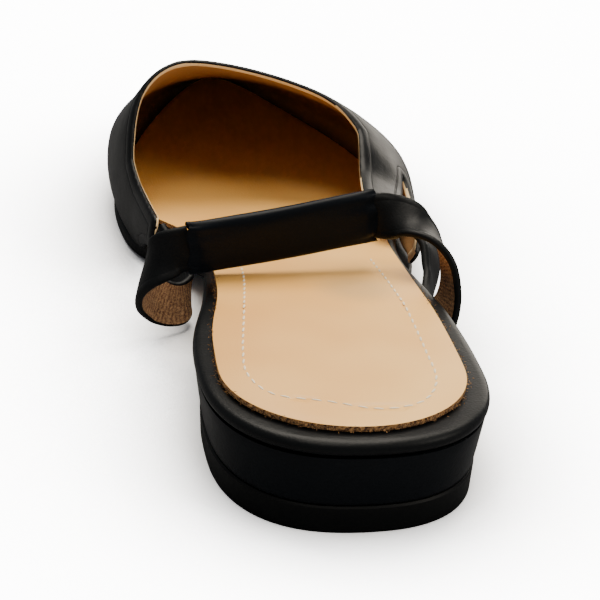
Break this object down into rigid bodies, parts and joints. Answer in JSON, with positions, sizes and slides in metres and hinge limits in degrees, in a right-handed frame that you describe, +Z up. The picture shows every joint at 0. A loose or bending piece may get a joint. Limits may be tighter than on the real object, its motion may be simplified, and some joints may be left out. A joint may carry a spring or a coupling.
{
  "type": "slingback sandal",
  "caption": "Pointed slingback sandal for the right foot: closed leather vamp with low wings, tan sock, slack back strap with a gathered casing, low block heel",
  "frame": {"origin": "bottom centre of the bounding box, on the ground plane the shoe stands on", "axes": "+Y to the toe, +X to the outer (lateral) side of the right foot, +Z up"},
  "size_m": [0.0828, 0.255, 0.0488],
  "materials": {
    "black_leather": "soft smooth leather with a satin sheen",
    "strap_leather": "smooth leather, warm brown lining",
    "casing_leather": "thin smooth leather, slightly shiny",
    "tan_sock": "matt tan sock lining",
    "sole_rubber": "matt black"
  },
  "bodies": {
    "root": {"upper": "black_leather", "outsole": "sole_rubber", "heel_block": "black_leather", "top_lift": "sole_rubber", "footbed": "black_leather", "sock": "tan_sock", "sling_lateral": "strap_leather", "sling_medial": "strap_leather", "elastic_sleeve": "casing_leather"}
  },
  "joints": []
}
